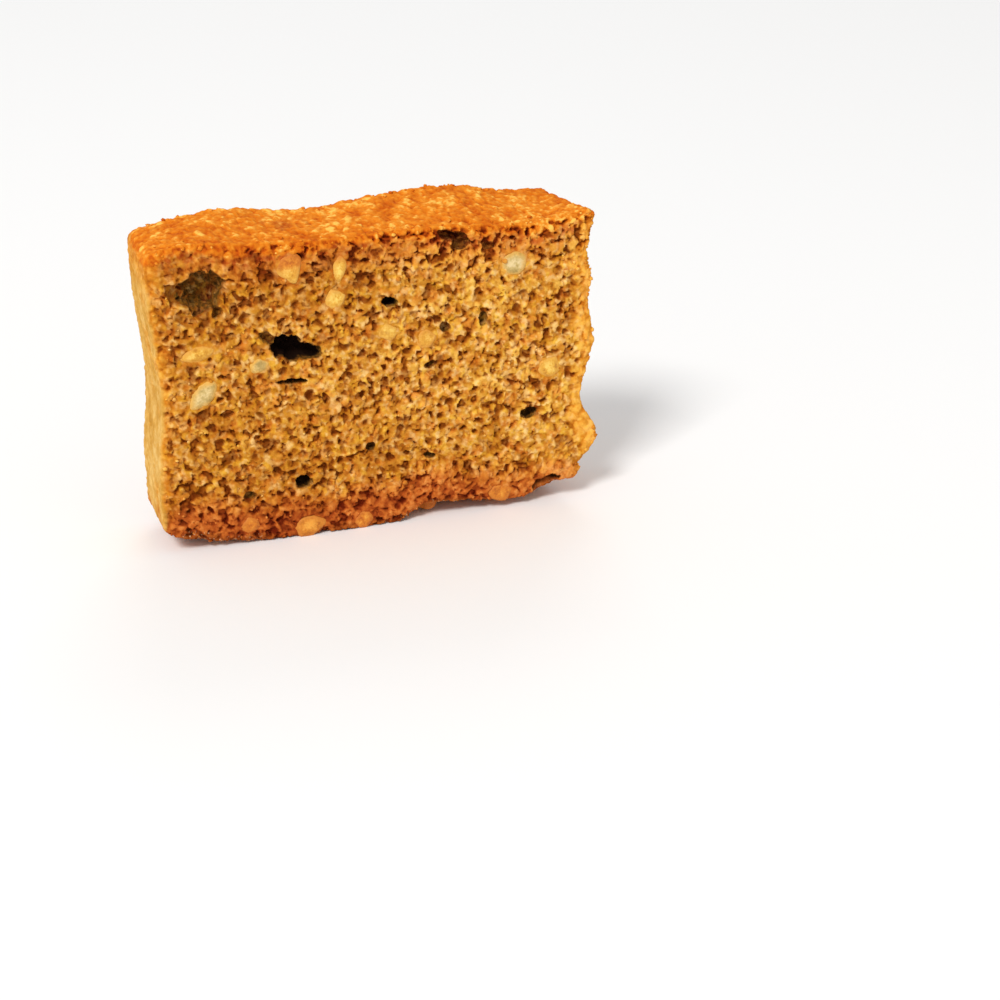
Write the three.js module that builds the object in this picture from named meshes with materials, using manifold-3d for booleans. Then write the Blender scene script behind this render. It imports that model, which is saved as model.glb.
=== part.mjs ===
// A thick slice of nut-topped sponge cake, standing on its baked top.
// Millimetres, +X along the slice, +Y through it from the front cut face to the back one, +Z up.
// The sponge is one solid. Every nut piece that shows at a cut or in the baked top is its own solid,
// set in a pocket of the sponge with a small gap all round.
import * as THREE from "three";
import { mergeVertices } from "three/addons/utils/BufferGeometryUtils.js";
import Module from "manifold-3d";

// Driving dimensions.
const HALF_WIDTH = 51;
const HALF_DEPTH = 10;
const NOMINAL_HEIGHT = 69;
const END_SKEW = 4.5; // how much shorter the slice is at its back face, all at the right end
const CORNER_RADIUS = 2.6; // of the outline's corners
const CUT_EDGE_RADIUS = 0.7; // of the edges that the knife left
const LUMP = 0.35; // how far the crust and the cuts wander from a true surface
const GAP = 0.3; // between a nut piece and its pocket
const BUBBLE_UNEVEN = 0.12; // how much a bubble's radius varies, as a share of it

// How many flat steps the sponge's surface takes along X, Y and Z, and a nut's around and from pole to pole.
const SPONGE_STEPS = [28, 4, 18];
const NUT_STEPS = [8, 6];
const BUBBLE_STEPS = [10, 7];

// The outline: each line is a height over X, or an X over the height, through [place, value] points.
const TOP_FRONT = lineThrough([
  [-51, 68.3],
  [-42, 69.8],
  [-30, 68.5],
  [-17, 68.1],
  [16, 68.2],
  [38, 67.4],
  [50.6, 69.6],
]);
const TOP_BACK = lineThrough([
  [-50, 68.9],
  [-30, 71.7],
  [-13, 69.9],
  [3, 71.6],
  [23, 72.2],
  [33, 70.6],
  [46, 69.5],
]);
const UNDERSIDE_FRONT = lineThrough([
  [-51, 4.7],
  [-39, 1.9],
  [-25, 0],
  [3, 0],
  [8, 3.4],
  [15, 3.7],
  [24, 2.6],
  [34, 2.3],
  [39, 4.4],
  [51, 5],
]);
const UNDERSIDE_BACK = lineThrough([
  [-51, 4.4],
  [-34, 1.2],
  [-22, 0],
  [20, 0],
  [34, 1.8],
  [50, 4.8],
]);
const LEFT_END = lineThrough([
  [4, -50.8],
  [14, -50.8],
  [36, -49.3],
  [55, -50.8],
  [69, -51.1],
]);
const RIGHT_END = lineThrough([
  [4, 47.2],
  [10, 51.1],
  [21, 47.4],
  [36, 50.1],
  [47, 48.9],
  [52, 49.4],
  [57, 48.3],
  [64, 49.3],
  [70, 50.6],
]);

// The bubbles that the knife opened in the front face: middle [x, z], size [along, across, deep], tilt.
const FRONT_BUBBLES = [
  { at: [-40, 59], size: [9.4, 9, 12], tilt: 0 },
  { at: [-20.8, 45], size: [10, 5, 15], tilt: -22 },
  { at: [-20.8, 37.2], size: [7, 1.6, 5], tilt: 3 },
  { at: [17.4, 65.6], size: [6.4, 3.4, 5], tilt: -8 },
];
const BACK_BUBBLES = [
  { at: [-24, 50], size: [8.4, 6.4, 11], tilt: 30 },
  { at: [30, 30], size: [7.6, 3.8, 10], tilt: -12 },
];

// Nut pieces that a knife went through: middle [x, z], size [along, across, deep], tilt in degrees.
const FRONT_NUTS = [
  { name: "round_nut", at: [30.6, 58.8], size: [5.6, 5.4, 4.6], tilt: 20 },
  { name: "slanted_nut", at: [-40.2, 36.6], size: [8.8, 3.8, 4.4], tilt: 44 },
  { name: "wedge_nut", at: [-19.8, 62.6], size: [7, 6.2, 4.6], tilt: -64 },
  { name: "flat_nut", at: [-41, 45.8], size: [7.8, 2.6, 3.6], tilt: 10 },
  { name: "upright_nut", at: [-9.3, 61.8], size: [6.6, 2.2, 3.4], tilt: 82 },
  { name: "small_nut_1", at: [-28.1, 41.8], size: [4.6, 2.8, 3.4], tilt: 8 },
  { name: "small_nut_2", at: [-10.4, 55], size: [4.6, 4, 3.6], tilt: 60 },
  { name: "small_nut_3", at: [1.2, 46], size: [4.2, 3.6, 3.4], tilt: -30 },
  { name: "small_nut_4", at: [10, 43.6], size: [4.8, 3.8, 3.6], tilt: 40 },
  { name: "small_nut_5", at: [39.4, 33.4], size: [5.8, 4.4, 4], tilt: 15 },
];
const BACK_NUTS = [
  { name: "back_nut_1", at: [-34, 22], size: [7.6, 4.2, 4.4], tilt: -35 },
  { name: "back_nut_2", at: [-2, 40], size: [5.4, 5, 4.4], tilt: 10 },
  { name: "back_nut_3", at: [20, 57], size: [8, 3.4, 4], tilt: 55 },
  { name: "back_nut_4", at: [36, 46], size: [4.8, 3.4, 3.6], tilt: 0 },
];
const FRONT_EDGE_NUTS = [
  { name: "edge_nut_1", at: [-31.6, 4.6], size: [5.6, 3.6, 4.6], tilt: 12 },
  { name: "edge_nut_2", at: [-18.6, 2.2], size: [10.4, 4.4, 5.4], tilt: 5 },
  { name: "edge_nut_3", at: [-5.2, 2], size: [6, 3.6, 4.8], tilt: -4 },
  { name: "edge_nut_4", at: [27.6, 4], size: [6.4, 3.6, 4.6], tilt: -6 },
];

// Nut pieces in the baked top, which faces down: three staggered rows behind the front edge.
const TOP_NUT_COUNT = 15;
const TOP_NUT_ROWS = [-3.4, 2.6, 7.8];
const TOP_NUT_SPAN = [-47, 45]; // the first and last one's X, before the skewed end takes its share
const TOP_NUT_LENGTH = [7.6, 11];
const TOP_NUT_SINK = 0.4; // how far a piece's middle is sunk into the crust

const GOLDEN = (Math.sqrt(5) - 1) / 2;
const wasm = await Module();
wasm.setup();

// The value of a smooth line through [place, value] points, as a function of the place.
function lineThrough(points) {
  const places = points.map(([place]) => place);
  const values = points.map(([, value]) => value);
  const line = new THREE.CubicInterpolant(places, values, 1);
  return (place) => line.evaluate(THREE.MathUtils.clamp(place, places[0], places.at(-1)))[0];
}

// An even spread of numbers from 0 to 1 that never repeats: the nth one of a numbered series.
function spread(n, series) {
  const along = (n + 1) * GOLDEN * (1 + series * GOLDEN);
  return along - Math.floor(along);
}

// Heights of the two baked faces over X, at a share of the way from the front cut to the back one.
// The lower one is flat where it would pass through the surface that the slice stands on.
function undersideAt(x, back) {
  return Math.max(0, THREE.MathUtils.lerp(UNDERSIDE_FRONT(x), UNDERSIDE_BACK(x), back));
}
function topAt(x, back) {
  return THREE.MathUtils.lerp(TOP_FRONT(x), TOP_BACK(x), back);
}

// Slow waves of height -1 to 1 that make a baked or cut surface wander.
function wander(x, y, z) {
  const wide = Math.sin(0.21 * x + 0.5 * y + 1.3) * Math.sin(0.17 * z - 0.3 * y + 0.4);
  const narrow = Math.sin(0.53 * x - 0.9 * y + 0.37 * z) * Math.cos(0.47 * z + 0.11 * x);
  return 0.6 * wide + 0.4 * narrow;
}

// A closed mesh with its shared points merged, as a solid for joining and cutting.
function solidFrom(geometry) {
  const bare = geometry.clone();
  bare.deleteAttribute("normal");
  bare.deleteAttribute("uv");
  const merged = mergeVertices(bare, 1e-4);
  const vertProperties = new Float32Array(merged.attributes.position.array);
  const triVerts = new Uint32Array(merged.index.array);
  return new wasm.Manifold(new wasm.Mesh({ numProp: 3, vertProperties, triVerts }));
}

// A solid back as a geometry.
function geometryFrom(solid) {
  const { numProp, numVert, vertProperties, triVerts } = solid.getMesh();
  const positions = new Float32Array(numVert * 3);
  for (let i = 0; i < numVert; i++) {
    positions.set(vertProperties.subarray(i * numProp, i * numProp + 3), i * 3);
  }
  const geometry = new THREE.BufferGeometry();
  geometry.setAttribute("position", new THREE.BufferAttribute(positions, 3));
  geometry.setIndex(new THREE.BufferAttribute(triVerts, 1));
  geometry.computeVertexNormals();
  return geometry;
}

// A geometry with every point moved by a function that changes it in place.
function reshaped(geometry, move) {
  const position = geometry.attributes.position;
  const point = new THREE.Vector3();
  for (let i = 0; i < position.count; i++) {
    move(point.fromBufferAttribute(position, i));
    position.setXYZ(i, point.x, point.y, point.z);
  }
  return geometry;
}

// The sponge before it is opened: a box with eased edges, drawn out between the outline's lines.
function wholeSponge() {
  const half = new THREE.Vector3(HALF_WIDTH, HALF_DEPTH, NOMINAL_HEIGHT / 2);
  const ease = new THREE.Vector3(CORNER_RADIUS, CUT_EDGE_RADIUS, CORNER_RADIUS);
  const inner = half.clone().sub(ease);
  const core = new THREE.Vector3();
  const box = new THREE.BoxGeometry(2 * half.x, 2 * half.y, 2 * half.z, ...SPONGE_STEPS);
  return reshaped(box, (point) => {
    core.copy(point).clamp(inner.clone().negate(), inner);
    point.sub(core).divide(ease).normalize().multiply(ease).add(core);
    const back = (point.y / half.y + 1) / 2;
    const across = (point.x / half.x + 1) / 2;
    const up = (point.z / half.z + 1) / 2;
    const nominalZ = up * NOMINAL_HEIGHT;
    const stray = LUMP * wander(point.x, point.y, nominalZ);
    const left = LEFT_END(nominalZ) - stray;
    const right = RIGHT_END(nominalZ) - END_SKEW * back + stray;
    point.x = THREE.MathUtils.lerp(left, right, across);
    point.z = THREE.MathUtils.lerp(undersideAt(point.x, back), topAt(point.x, back), up);
    point.y += LUMP * wander(point.x, 0, point.z) * Math.abs(point.y / half.y);
  });
}

// A round or lens-shaped bubble across a cut face.
function bubble({ at: [x, z], size: [along, across, deep], tilt }, faceY) {
  const geometry = reshaped(new THREE.SphereGeometry(0.5, ...BUBBLE_STEPS), (point) => {
    point.multiplyScalar(1 + BUBBLE_UNEVEN * Math.sin(9 * point.x + x) * Math.cos(7 * point.z + z));
  });
  geometry.scale(along, deep, across);
  geometry.rotateY(-THREE.MathUtils.degToRad(tilt));
  geometry.translate(x, faceY, z);
  return solidFrom(geometry);
}

// The flat sides that chopping left on the nth nut: [outward direction, distance from its middle].
function choppedSides(n, half) {
  const sides = [];
  for (let side = 0; side < 4; side++) {
    const turn = 2 * Math.PI * (side / 4 + 0.22 * spread(n, side));
    const lean = 0.9 * (spread(n, side + 4) - 0.5);
    const out = new THREE.Vector3(Math.cos(turn), lean, Math.sin(turn)).normalize();
    const reach = Math.hypot(out.x * half.x, out.y * half.y, out.z * half.z);
    sides.push([out, reach * (0.74 + 0.24 * spread(n, side + 8))]);
  }
  return sides;
}

// A chopped nut about its own middle: an ellipsoid cut back to flat sides, grown by a margin all round.
function nutGeometry(half, sides, grow) {
  const direction = new THREE.Vector3();
  return reshaped(new THREE.SphereGeometry(1, ...NUT_STEPS), (point) => {
    direction.copy(point).normalize();
    let reach = 1 / direction.clone().divide(half).length();
    for (const [out, distance] of sides) {
      const facing = direction.dot(out);
      if (facing > 0) reach = Math.min(reach, distance / facing);
    }
    point.copy(direction).multiplyScalar(reach + grow);
  });
}

// One nut piece and the pocket that it sits in. planes are the cuts that it shares with the slice,
// each [outward direction, a point on it], and they leave the pocket open.
function nutPiece({ name, n, middle, size: [along, across, deep], turn, planes }) {
  const half = new THREE.Vector3(along / 2, deep / 2, across / 2);
  const chopped = choppedSides(n, half);
  const back = turn.clone().invert();
  const shared = planes.map(([out, on]) => {
    const distance = out.dot(on.clone().sub(middle));
    return [out.clone().applyQuaternion(back), distance];
  });
  const sides = [...chopped, ...shared];
  const nut = new THREE.Mesh(nutGeometry(half, sides, 0), nutMaterial(n));
  nut.name = name;
  nut.position.copy(middle);
  nut.quaternion.copy(turn);
  nut.updateMatrix();
  const pocket = nutGeometry(half, chopped, GAP).applyMatrix4(nut.matrix);
  return { nut, pocket: solidFrom(pocket) };
}

function crumbMaterial() {
  return new THREE.MeshStandardMaterial({ color: 0xc07c34, roughness: 0.95, metalness: 0 });
}

// Cut nut flesh is pale; every third piece is browner.
function nutMaterial(n) {
  const color = n % 3 === 2 ? 0xc9853a : 0xddb26c;
  return new THREE.MeshStandardMaterial({ color, roughness: 0.6, metalness: 0 });
}

const FRONT = [new THREE.Vector3(0, -1, 0), new THREE.Vector3(0, -HALF_DEPTH, 0)];
const BACK = [new THREE.Vector3(0, 1, 0), new THREE.Vector3(0, HALF_DEPTH, 0)];
const FLOOR = [new THREE.Vector3(0, 0, -1), new THREE.Vector3(0, 0, 0)];

// Nuts in a cut face: their middles lie a little behind it, so that the knife took off a cap.
function cutFaceNuts(nuts, face, firstNumber) {
  const towards = Math.sign(face[1].y);
  return nuts.map(({ name, at: [x, z], size, tilt }, i) => {
    const middle = new THREE.Vector3(x, face[1].y - towards * 0.22 * size[2], z);
    const upright = new THREE.Vector3(0, -1, 0);
    const turn = new THREE.Quaternion().setFromAxisAngle(upright, THREE.MathUtils.degToRad(tilt));
    return nutPiece({ name, n: firstNumber + i, middle, size, turn, planes: [face, FLOOR] });
  });
}

// Nuts in the baked top. Each lies flat on the crust and stands out of it by most of its half thickness.
function bakedTopNuts(firstNumber) {
  const pieces = [];
  for (let i = 0; i < TOP_NUT_COUNT; i++) {
    const y = TOP_NUT_ROWS[i % TOP_NUT_ROWS.length] + 1.2 * (spread(i, 5) - 0.5);
    const back = (y / HALF_DEPTH + 1) / 2;
    const along = (i + 0.5 + 0.4 * (spread(i, 3) - 0.5)) / TOP_NUT_COUNT;
    const x = THREE.MathUtils.lerp(TOP_NUT_SPAN[0], TOP_NUT_SPAN[1] - END_SKEW * back, along);
    const crust = undersideAt(x, back);
    const long = THREE.MathUtils.lerp(...TOP_NUT_LENGTH, spread(i, 1));
    const wide = long * (0.56 + 0.16 * spread(i, 6));
    const size = [long, 3.6 + 1.4 * spread(i, 2), wide];
    const lean = 0.3 * (spread(i, 7) - 0.5);
    const turn = new THREE.Quaternion().setFromEuler(new THREE.Euler(lean, 0, Math.PI * spread(i, 4)));
    const middle = new THREE.Vector3(x, y, crust + TOP_NUT_SINK);
    const name = `top_nut_${i + 1}`;
    const planes = [FRONT, BACK, FLOOR];
    pieces.push(nutPiece({ name, n: firstNumber + i, middle, size, turn, planes }));
  }
  return pieces;
}

const pieces = [
  ...cutFaceNuts(FRONT_NUTS, FRONT, 0),
  ...cutFaceNuts(BACK_NUTS, BACK, 20),
  ...cutFaceNuts(FRONT_EDGE_NUTS, FRONT, 30),
  ...bakedTopNuts(40),
];

let sponge = solidFrom(wholeSponge());
for (const opened of FRONT_BUBBLES) sponge = sponge.subtract(bubble(opened, -HALF_DEPTH));
for (const opened of BACK_BUBBLES) sponge = sponge.subtract(bubble(opened, HALF_DEPTH));
for (const { pocket } of pieces) sponge = sponge.subtract(pocket);

const slice = new THREE.Mesh(geometryFrom(sponge), crumbMaterial());
slice.name = "slice";

// The origin is under the middle of the whole slice, on the surface that it stands on.
const cake = new THREE.Group();
cake.add(slice, ...pieces.map(({ nut }) => nut));
const bounds = new THREE.Box3().setFromObject(cake, true);
const middle = bounds.getCenter(new THREE.Vector3());
cake.position.set(-middle.x, -middle.y, -bounds.min.z);
const part = new THREE.Group();
part.add(cake);

export default part;
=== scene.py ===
# %% [markdown]
# # A slice of nut-topped sponge cake
# The construction model gives the true sizes and says where each nut piece sits. Around it, this
# lesson gives the cut crumb its bubbles and granules, the crusts their colour, and every nut its
# chopped, toasted shape. All sizes are in millimetres, and are made metres only in the meshes.

# %% Load the construction model
from itertools import combinations

import bpy
import numpy as np
from mathutils import Euler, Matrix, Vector


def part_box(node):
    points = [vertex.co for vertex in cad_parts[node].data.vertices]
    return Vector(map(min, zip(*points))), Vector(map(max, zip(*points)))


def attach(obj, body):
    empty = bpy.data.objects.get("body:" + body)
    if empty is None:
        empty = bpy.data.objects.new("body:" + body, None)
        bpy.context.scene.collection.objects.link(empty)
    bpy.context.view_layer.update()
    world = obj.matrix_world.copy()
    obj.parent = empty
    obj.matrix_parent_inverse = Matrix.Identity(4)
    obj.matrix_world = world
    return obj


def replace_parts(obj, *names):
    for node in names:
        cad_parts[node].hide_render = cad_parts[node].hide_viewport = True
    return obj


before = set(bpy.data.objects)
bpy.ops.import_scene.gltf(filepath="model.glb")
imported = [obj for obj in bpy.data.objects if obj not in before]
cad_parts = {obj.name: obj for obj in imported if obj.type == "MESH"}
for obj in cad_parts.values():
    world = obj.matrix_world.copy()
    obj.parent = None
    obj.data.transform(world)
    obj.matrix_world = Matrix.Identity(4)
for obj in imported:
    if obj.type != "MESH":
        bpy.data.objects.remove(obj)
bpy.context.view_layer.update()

MM = 0.001
slice_low, slice_high = (np.array(corner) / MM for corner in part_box("slice"))
print("slice, mm:", (slice_high - slice_low).round(1))

# %% [markdown]
# ## Random numbers that stay put
# Crumb is random, but the cake must come out the same each time. So each little cube of space gets
# random numbers from its own address, and any point can ask for them.

# %% Numbers from the address of a cube
PRIMES = np.array([73856093, 19349663, 83492791], np.uint32)


def cube_number(cubes, series):
    """A repeatable number from 0 to 1 for each whole-number address: its three numbers times three
    primes, combined bit by bit with the series number, stirred, and divided by 2^32."""
    parts = cubes.astype(np.int32).view(np.uint32) * PRIMES
    mixed = parts[..., 0] ^ parts[..., 1] ^ parts[..., 2] ^ np.uint32(series * 2654435761 % 2**32)
    mixed = (mixed ^ (mixed >> np.uint32(15))) * np.uint32(2246822519)
    mixed = (mixed ^ (mixed >> np.uint32(13))) * np.uint32(3266489917)
    return (mixed ^ (mixed >> np.uint32(16))) / np.float64(2**32)


def lattice(*steps):
    """Every place whose three whole numbers are each one of the steps."""
    return np.stack(np.meshgrid(steps, steps, steps, indexing="ij"), -1).reshape(-1, 3)


CORNERS, NEIGHBOURS = lattice(0, 1), lattice(-1, 0, 1)
LEAN = np.array([[0.36, 0.48, -0.8], [-0.8, 0.6, 0], [0.48, 0.64, 0.6]])  # a turn in space


def waves(points, size, series):
    """Smooth random height from -1 to 1 with bumps about as wide as size. Random numbers at the
    eight corners of the leaning cube round a point are blended by 3t^2 - 2t^3 of its place t along
    each side."""
    scaled = points @ LEAN / size
    cube = np.floor(scaled)
    t = scaled - cube
    ease = t * t * (3 - 2 * t)
    height = np.zeros(len(points))
    for corner in CORNERS:
        share = np.prod(np.where(corner, ease, 1 - ease), axis=1)
        height += share * cube_number(cube + corner, series)
    return 2 * height - 1


def billows(points, size, series):
    """Waves with detail on them: waves of size, half as high at half the size, and so on."""
    return sum(waves(points, size / 2**k, series + k) / 2**k for k in range(3)) / 1.75


# %% [markdown]
# ## Bubbles and granules
# Sponge crumb is a foam. Where the knife went through a bubble, the cut face has a round pit, and
# between the pits the walls break into rounded grains. Both come from one random point in each small
# cube of space: a bubble is a ball round its point, and a grain is the region nearer to its point
# than to any other.

# %% Fields made of scattered points


def scattered(points, size, series):
    """One random point in each cube of the given size. For the cube that each of the points lies in
    and the 26 round it, gives the cube's address and the way from its random point, over size."""
    scaled = points / size
    for step in NEIGHBOURS:
        home = np.floor(scaled) + step
        spot = np.stack([cube_number(home, series + k) for k in range(3)], 1)
        yield home, scaled - home - spot


def bubbles(points, size, share, smallest, largest, series):
    """Depth of round pits. A share of the cubes of the given size hold a ball each, at a random
    place, with a radius between smallest and largest. At distance d from the middle of a ball of
    radius r the depth is sqrt(r^2 - d^2), and the deepest ball counts."""
    depth = np.zeros(len(points))
    for home, away in scattered(points, size, series):
        radius = smallest + (largest - smallest) * cube_number(home, series + 3) ** 2
        radius *= cube_number(home, series + 4) < share
        inside = radius**2 - np.sum((away * size) ** 2, axis=1)
        depth = np.maximum(depth, np.sqrt(np.maximum(inside, 0)))
    return depth


GRAIN_HARDNESS = 14  # the higher, the sharper the creases between grains


def granules(points, size, series):
    """Rounded grains packed side by side. Each random point has the weight e^(-hardness d^2), with d
    its distance over size. The height is 1 - 2q, at least -1, where q is minus the logarithm of all
    weights over the hardness: nearly the least d^2. Also gives the weighted mean of the random
    tones."""
    total, tone = np.full(len(points), 1e-9), np.zeros(len(points))
    for home, away in scattered(points, size, series):
        weight = np.exp(-GRAIN_HARDNESS * np.sum(away**2, axis=1))
        total += weight
        tone += weight * cube_number(home, series + 3)
    return np.maximum(1 + 2 * np.log(total) / GRAIN_HARDNESS, -1), tone / total


def unit(vectors):
    """Rows of numbers as vectors 1 long. Zero stays zero."""
    return vectors / np.maximum(np.linalg.norm(vectors, axis=1, keepdims=True), 1e-9)


def ramp(value, start, end):
    """0 up to start, 1 from end on, and 3t^2 - 2t^3 of the way t between. Start may be the larger
    one, and then the ramp falls."""
    t = np.clip((value - start) / (end - start), 0, 1)
    return t * t * (3 - 2 * t)


# %% [markdown]
# ## The outline of the slice
# A loaf rises unevenly, so no edge of a slice is straight. The six lines below are the construction
# model's outline, as heights over X, or as X over the height. The top and the underside have one
# line at the front cut and one at the back, where the slice is a little higher.

# %% Outline lines
HALF_WIDTH, HALF_DEPTH, NOMINAL_HEIGHT = 51, 10, 69
END_SKEW = 4.5  # how much further left the right end lies at the back
CORNER_RADIUS, CUT_EDGE_RADIUS = 2.6, 0.7
MIDDLE_X = 0.525  # where the lines' X = 0 lies in the frame


def line(points):
    """A smooth line through [place, value] points: a cubic between each two, whose slope at a point
    is that of the parabola through it and its neighbours."""
    places, values = np.array(points, float).T
    slopes = np.gradient(values, places)

    def value_at(place):
        place = np.clip(place, places[0], places[-1])
        i = np.clip(np.searchsorted(places, place) - 1, 0, len(places) - 2)
        width = places[i + 1] - places[i]
        t = (place - places[i]) / width
        rise = values[i] * (1 + 2 * t) * (1 - t) ** 2 + values[i + 1] * t * t * (3 - 2 * t)
        return rise + width * (slopes[i] * t * (1 - t) ** 2 - slopes[i + 1] * t * t * (1 - t))

    return value_at


top_front = line([
    (-51, 68.3), (-42, 69.8), (-30, 68.5), (-17, 68.1), (16, 68.2), (38, 67.4), (50.6, 69.6),
])
top_back = line([
    (-50, 68.9), (-30, 71.7), (-13, 69.9), (3, 71.6), (23, 72.2), (33, 70.6), (46, 69.5),
])
under_front = line([
    (-51, 4.7), (-39, 1.9), (-25, 0), (3, 0), (8, 3.4),
    (15, 3.7), (24, 2.6), (34, 2.3), (39, 4.4), (51, 5),
])
under_back = line([(-51, 4.4), (-34, 1.2), (-22, 0), (20, 0), (34, 1.8), (50, 4.8)])
left_end = line([(4, -50.8), (14, -50.8), (36, -49.3), (55, -50.8), (69, -51.1)])
right_end = line([
    (4, 47.2), (10, 51.1), (21, 47.4), (36, 50.1), (47, 48.9),
    (52, 49.4), (57, 48.3), (64, 49.3), (70, 50.6),
])


def blend(a, b, share):
    """From a at share 0 to b at share 1, straight."""
    return a + (b - a) * share


def outline_at(x, back):
    """Height of the underside and of the top over x, at a share of the way from front to back."""
    under = np.maximum(0, blend(under_front(x), under_back(x), back))
    return under, blend(top_front(x), top_back(x), back)


def gaps_to_crust(points):
    """How far points of the plain slice are from its top, underside, left and right end, in mm."""
    x = points[:, 0] - MIDDLE_X
    back = (points[:, 1] / HALF_DEPTH + 1) / 2
    height = np.clip(points[:, 2], 0, NOMINAL_HEIGHT)
    under, top = outline_at(x, back)
    right = right_end(height) - END_SKEW * back - x
    return np.stack([top - points[:, 2], points[:, 2] - under, x - left_end(height), right], 1)


# %% [markdown]
# ## From a box to the slice
# The sponge starts as a box with eased edges and is drawn out between the outline's lines. Its grid
# is about a quarter of a millimetre fine, so that small bubbles are real pits. One such mesh would
# be too heavy to handle, so there are four quarters, all the same grid mirrored. A quarter's outer
# surface is one strip, from the middle of the top over the cut face to the middle of the underside,
# and one patch for its end.

# %% Draw a box out to the slice
HALF_BOX = np.array([HALF_WIDTH, HALF_DEPTH, NOMINAL_HEIGHT / 2])
EASE = np.array([CORNER_RADIUS, CUT_EDGE_RADIUS, CORNER_RADIUS])


def draw_out(box):
    """Box points from -1 to 1 become points on the plain slice, with the direction out of each. A
    point in a corner first moves to the ellipsoid of the easing radii round the corner's core. Then
    X goes from the left end to the right one, and Z from underside to top."""
    point = box * HALF_BOX
    core = np.clip(point, -(HALF_BOX - EASE), HALF_BOX - EASE)
    off = unit((point - core) / EASE)
    eased = (core + off * EASE) / HALF_BOX
    back = (eased[:, 1] + 1) / 2
    up = (eased[:, 2] + 1) / 2
    height = up * NOMINAL_HEIGHT
    x = blend(left_end(height), right_end(height) - END_SKEW * back, (eased[:, 0] + 1) / 2)
    z = blend(*outline_at(x, back), up)
    return np.stack([x + MIDDLE_X, eased[:, 1] * HALF_DEPTH, z], 1), unit(off / EASE)


# %% The grid of one quarter
GRID = 0.236  # mm between neighbouring points
ACROSS, UP, THROUGH = (round(side / GRID) for side in (HALF_WIDTH, NOMINAL_HEIGHT, HALF_DEPTH))
RUN_ON = np.array([0.24, 0.5])  # how far a quarter runs on past its seams, ring by ring
SUNK = np.array([0.02, 1.5])  # how deep those rings lie under the neighbour's surface
MAP_GAP = 1.0  # between the parts of the flat map
MAP_RADII = np.array([4.8, 4.4, 4.0])  # of the open edge and the two rings on the map
MAP_CENTRE = np.array([HALF_WIDTH + MAP_GAP + HALF_DEPTH / 2, NOMINAL_HEIGHT + MAP_GAP + 6])


def squares(grid):
    """The four corners of every square of a grid: down, right and up from its upper left one."""
    corners = [grid[:-1, :-1], grid[1:, :-1], grid[1:, 1:], grid[:-1, 1:]]
    return np.stack(corners, 2).reshape(-1, 4, *grid.shape[2:])


def outer_grids():
    """The outer surface of the box's front left quarter. a, b and c are the box's X, Y and Z. The
    strip goes over a and along the way b(t), c(t), the end patch over b and c at a = -1. Gives the
    points, the point numbers in the strip and the end, and both laid flat, in mm."""
    ways = (-1, 0, ACROSS + 1), (0, -1, THROUGH + 1), (1, -1, UP + 1)
    a, b, c = (np.linspace(*way) for way in ways)
    b_way = np.hstack([b, np.full(UP - 1, -1), b[::-1]])
    c_way = np.hstack([np.ones(THROUGH), c, -np.ones(THROUGH)])
    strip = np.stack(np.broadcast_arrays(a[None], b_way[:, None], c_way[:, None]), -1)
    patch = np.stack(np.broadcast_arrays(-1.0, b[None, :-1], c[1:-1, None]), -1)
    index = np.arange(strip[..., 0].size).reshape(strip.shape[:2])
    end = np.empty((UP + 1, THROUGH + 1), int)
    end[1:-1, :-1] = index.size + np.arange(patch[..., 0].size).reshape(patch.shape[:2])
    end[:, -1] = index[THROUGH : THROUGH + UP + 1, 0]
    end[0], end[-1] = index[: THROUGH + 1, 0], index[::-1][: THROUGH + 1, 0]

    steps = np.abs(np.diff(b_way)) * HALF_DEPTH + np.abs(np.diff(c_way)) * NOMINAL_HEIGHT / 2
    strip_map = np.meshgrid((a + 1) * HALF_WIDTH, np.append(0, np.cumsum(steps)))
    end_map = np.meshgrid((b + 1) * HALF_DEPTH + HALF_WIDTH + MAP_GAP, (1 - c) * NOMINAL_HEIGHT / 2)
    points = np.vstack([strip.reshape(-1, 3), patch.reshape(-1, 3)])
    return points, index, end, np.stack(strip_map, -1), np.stack(end_map, -1)


def quarter_box():
    """The front left quarter of the box, closed: two rings run on past the open edge of the outer
    grids, and a fan closes them. On the flat map, edge and rings are circles. Gives the box points,
    how far each is sunk, the faces, and the places of their corners on the map, from 0 to 1."""
    points, index, end, strip_map, end_map = outer_grids()
    edge = np.hstack([index[0, :-1], index[:-1, -1], index[-1, :0:-1], end[:0:-1, 0]])
    past_seam = (points[edge] == 0)[None] * RUN_ON[:, None, None] / HALF_BOX * [1, 1, 0]
    rings = points[edge] + past_seam
    heart = rings[-1].max(0) * [1, 1, 0]
    ring_index = len(points) + np.arange(rings[..., 0].size).reshape(len(RUN_ON), -1)
    loops = np.vstack([edge, ring_index])
    loops = np.hstack([loops, loops[:, :1]])
    fan = np.stack([loops[-1, :-1], loops[-1, 1:], np.full(len(edge), ring_index.max() + 1)], 1)

    turn = np.linspace(0, 2 * np.pi, len(edge) + 1)
    circle = np.stack([np.cos(turn), np.sin(turn)], -1)
    loop_map = circle[None] * MAP_RADII[:, None, None] + MAP_CENTRE
    centre = np.broadcast_to(MAP_CENTRE, (len(edge), 2))
    fan_map = np.stack([loop_map[-1, :-1], loop_map[-1, 1:], centre], 1)

    quads = [squares(grid) for grid in (index, end, loops.T)]
    quad_maps = [squares(grid) for grid in (strip_map, end_map, loop_map.transpose(1, 0, 2))]
    map_size = np.array([HALF_WIDTH + MAP_GAP + HALF_DEPTH, strip_map[-1, 0, 1]])
    maps = [part / map_size for part in (np.vstack(quad_maps), fan_map)]
    sink = np.hstack([np.zeros(len(points)), np.repeat(SUNK, len(edge)), 0])
    points = np.vstack([points, rings.reshape(-1, 3), heart])
    return points, sink, [np.vstack(quads), fan], maps


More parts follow.
